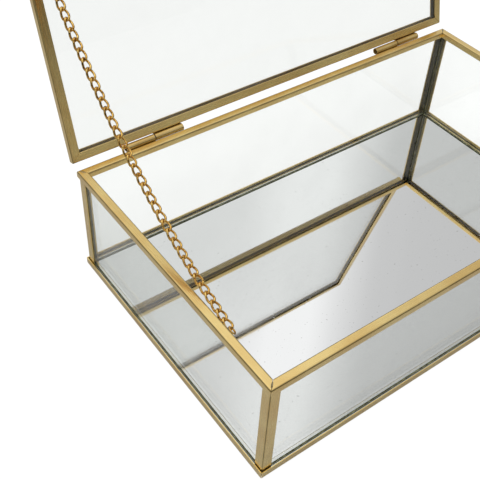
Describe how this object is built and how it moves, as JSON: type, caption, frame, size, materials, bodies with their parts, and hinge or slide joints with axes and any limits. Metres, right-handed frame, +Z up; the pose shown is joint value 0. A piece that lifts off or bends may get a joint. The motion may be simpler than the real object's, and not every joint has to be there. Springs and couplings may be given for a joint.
{
  "type": "glass jewelry box",
  "caption": "Shallow rectangular glass jewelry box with a thin brass frame, a mirror floor and a rear-hinged glass lid held open by a chain.",
  "frame": {"origin": "middle of the underside, on the backing sheet that the box stands on", "axes": "+Z up, +X along the hinged edge to the right, -Y is the front; the chain is on -X"},
  "size_m": [0.2206, 0.1761, 0.188],
  "materials": {
    "frame_brass": "satin lacquered pale brass strip, darker in the bends",
    "hinge_brass": "satin brass tube",
    "chain_gold": "bright yellow gilt wire",
    "pin_steel": "dull drawn wire",
    "glass": "clear polished sheet",
    "mirror": "silvered float glass",
    "felt": "black felt sheet"
  },
  "bodies": {
    "box": {"base_backing": "felt", "mirror_base": "mirror", "base_rail_front": "frame_brass", "base_rail_right": "frame_brass", "base_rail_rear": "frame_brass", "base_rail_left": "frame_brass", "corner_post_front_left": "frame_brass", "corner_post_front_right": "frame_brass", "corner_post_rear_right": "frame_brass", "corner_post_rear_left": "frame_brass", "glass_front": "glass", "glass_right": "glass", "glass_rear": "glass", "glass_left": "glass", "top_rail_front": "frame_brass", "top_rail_right": "frame_brass", "top_rail_rear": "frame_brass", "top_rail_left": "frame_brass", "eyelet_box": "chain_gold", "hinge_knuckle_box_left": "hinge_brass", "hinge_pin_left": "pin_steel", "hinge_knuckle_box_right": "hinge_brass", "hinge_pin_right": "pin_steel"},
    "lid": {"lid_glass": "glass", "lid_rail_front": "frame_brass", "lid_rail_right": "frame_brass", "lid_rail_rear": "frame_brass", "lid_rail_left": "frame_brass", "hinge_knuckle_lid_left": "hinge_brass", "hinge_knuckle_lid_right": "hinge_brass", "eyelet_lid": "chain_gold"},
    "chain_01": {"chain_segment_01": "chain_gold"},
    "chain_02": {"chain_segment_02": "chain_gold"},
    "chain_03": {"chain_segment_03": "chain_gold"},
    "chain_04": {"chain_segment_04": "chain_gold"},
    "chain_05": {"chain_segment_05": "chain_gold"},
    "chain_06": {"chain_segment_06": "chain_gold"},
    "chain_07": {"chain_segment_07": "chain_gold"},
    "chain_08": {"chain_segment_08": "chain_gold"},
    "chain_09": {"chain_segment_09": "chain_gold"},
    "chain_10": {"chain_segment_10": "chain_gold"},
    "chain_11": {"chain_segment_11": "chain_gold"},
    "chain_12": {"chain_segment_12": "chain_gold"},
    "chain_13": {"chain_segment_13": "chain_gold"},
    "chain_14": {"chain_segment_14": "chain_gold"},
    "chain_15": {"chain_segment_15": "chain_gold"},
    "chain_16": {"chain_segment_16": "chain_gold"},
    "chain_17": {"chain_segment_17": "chain_gold"},
    "chain_18": {"chain_segment_18": "chain_gold"},
    "chain_19": {"chain_segment_19": "chain_gold"},
    "chain_20": {"chain_segment_20": "chain_gold"}
  },
  "joints": [
    {"name": "lid_hinge", "type": "hinge", "parent": "box", "child": "lid", "pos_m": [0, 0.06925, 0.05615], "axis": [1, 0, 0], "range_deg": [0, 105]},
    {"name": "chain_pivot_01", "type": "hinge", "parent": "box", "child": "chain_01", "pos_m": [-0.1038, -0.036, 0.053], "axis": [1, 0, 0], "range_deg": [-94.51, 1]},
    {"name": "chain_pivot_02", "type": "hinge", "parent": "box", "child": "chain_02", "pos_m": [-0.1038, -0.03622, 0.05313], "axis": [1, 0, 0], "range_deg": [-91.93, 1]},
    {"name": "chain_pivot_03", "type": "hinge", "parent": "box", "child": "chain_03", "pos_m": [-0.1038, -0.03711, 0.05362], "axis": [1, 0, 0], "range_deg": [-86.97, 1]},
    {"name": "chain_pivot_04", "type": "hinge", "parent": "box", "child": "chain_04", "pos_m": [-0.1038, -0.03919, 0.05466], "axis": [1, 0, 0], "range_deg": [-80.07, 1]},
    {"name": "chain_pivot_05", "type": "hinge", "parent": "box", "child": "chain_05", "pos_m": [-0.1038, -0.04306, 0.0564], "axis": [1, 0, 0], "range_deg": [-71.84, 1]},
    {"name": "chain_pivot_06", "type": "hinge", "parent": "box", "child": "chain_06", "pos_m": [-0.1038, -0.04982, 0.0591], "axis": [1, 0, 0], "range_deg": [-62.44, 1]},
    {"name": "chain_pivot_07", "type": "hinge", "parent": "box", "child": "chain_07", "pos_m": [-0.1038, -0.0621, 0.06338], "axis": [1, 0, 0], "range_deg": [-51.63, 1]},
    {"name": "chain_pivot_08", "type": "hinge", "parent": "box", "child": "chain_08", "pos_m": [-0.1038, -0.088, 0.07123], "axis": [1, 0, 0], "range_deg": [-38.73, 1]},
    {"name": "chain_pivot_09", "type": "hinge", "parent": "box", "child": "chain_09", "pos_m": [-0.1038, -0.16761, 0.09225], "axis": [1, 0, 0], "range_deg": [-22.59, 1]},
    {"name": "chain_pivot_10", "type": "hinge", "parent": "box", "child": "chain_10", "pos_m": [-0.1038, -5.82871, 1.43739], "axis": [1, 0, 0], "range_deg": [-1.7, 1]},
    {"name": "chain_pivot_11", "type": "hinge", "parent": "box", "child": "chain_11", "pos_m": [-0.1038, 0.17827, 0.01636], "axis": [1, 0, 0], "range_deg": [-1, 27.48]},
    {"name": "chain_pivot_12", "type": "hinge", "parent": "box", "child": "chain_12", "pos_m": [-0.1038, 0.09082, 0.04129], "axis": [1, 0, 0], "range_deg": [-1, 61.21]},
    {"name": "chain_pivot_13", "type": "hinge", "parent": "lid", "child": "chain_13", "pos_m": [-0.1038, 0.02808, 0.12645], "axis": [1, 0, 0], "range_deg": [-1, 28.85]},
    {"name": "chain_pivot_14", "type": "hinge", "parent": "lid", "child": "chain_14", "pos_m": [-0.1038, 0.04646, 0.11626], "axis": [1, 0, 0], "range_deg": [-1, 69.08]},
    {"name": "chain_pivot_15", "type": "hinge", "parent": "lid", "child": "chain_15", "pos_m": [-0.1038, 0.04215, 0.11609], "axis": [1, 0, 0], "range_deg": [-1, 54.06]},
    {"name": "chain_pivot_16", "type": "hinge", "parent": "lid", "child": "chain_16", "pos_m": [-0.1038, -0.00036, 0.09957], "axis": [1, 0, 0], "range_deg": [-1, 18.47]},
    {"name": "chain_pivot_17", "type": "hinge", "parent": "lid", "child": "chain_17", "pos_m": [-0.1038, 0.14264, 0.16501], "axis": [1, 0, 0], "range_deg": [-16.02, 1]},
    {"name": "chain_pivot_18", "type": "hinge", "parent": "lid", "child": "chain_18", "pos_m": [-0.1038, 0.09831, 0.14608], "axis": [1, 0, 0], "range_deg": [-39.8, 1]},
    {"name": "chain_pivot_19", "type": "hinge", "parent": "lid", "child": "chain_19", "pos_m": [-0.1038, 0.09242, 0.14379], "axis": [1, 0, 0], "range_deg": [-54.1, 1]},
    {"name": "chain_pivot_20", "type": "hinge", "parent": "lid", "child": "chain_20", "pos_m": [-0.1038, 0.09138, 0.14341], "axis": [1, 0, 0], "range_deg": [-61.24, 1]}
  ],
  "couplings": [
    {"joint": "chain_pivot_01", "follows": "lid_hinge", "ratio": -0.8906},
    {"joint": "chain_pivot_02", "follows": "lid_hinge", "ratio": -0.86598},
    {"joint": "chain_pivot_03", "follows": "lid_hinge", "ratio": -0.81876},
    {"joint": "chain_pivot_04", "follows": "lid_hinge", "ratio": -0.75309},
    {"joint": "chain_pivot_05", "follows": "lid_hinge", "ratio": -0.67463},
    {"joint": "chain_pivot_06", "follows": "lid_hinge", "ratio": -0.58514},
    {"joint": "chain_pivot_07", "follows": "lid_hinge", "ratio": -0.48221},
    {"joint": "chain_pivot_08", "follows": "lid_hinge", "ratio": -0.3593},
    {"joint": "chain_pivot_09", "follows": "lid_hinge", "ratio": -0.20566},
    {"joint": "chain_pivot_10", "follows": "lid_hinge", "ratio": -0.0066676},
    {"joint": "chain_pivot_11", "follows": "lid_hinge", "ratio": 0.25216},
    {"joint": "chain_pivot_12", "follows": "lid_hinge", "ratio": 0.5734},
    {"joint": "chain_pivot_13", "follows": "lid_hinge", "ratio": 0.26526},
    {"joint": "chain_pivot_14", "follows": "lid_hinge", "ratio": 0.64836},
    {"joint": "chain_pivot_15", "follows": "lid_hinge", "ratio": 0.50533},
    {"joint": "chain_pivot_16", "follows": "lid_hinge", "ratio": 0.16639},
    {"joint": "chain_pivot_17", "follows": "lid_hinge", "ratio": -0.14304},
    {"joint": "chain_pivot_18", "follows": "lid_hinge", "ratio": -0.3695},
    {"joint": "chain_pivot_19", "follows": "lid_hinge", "ratio": -0.5057},
    {"joint": "chain_pivot_20", "follows": "lid_hinge", "ratio": -0.5737}
  ]
}
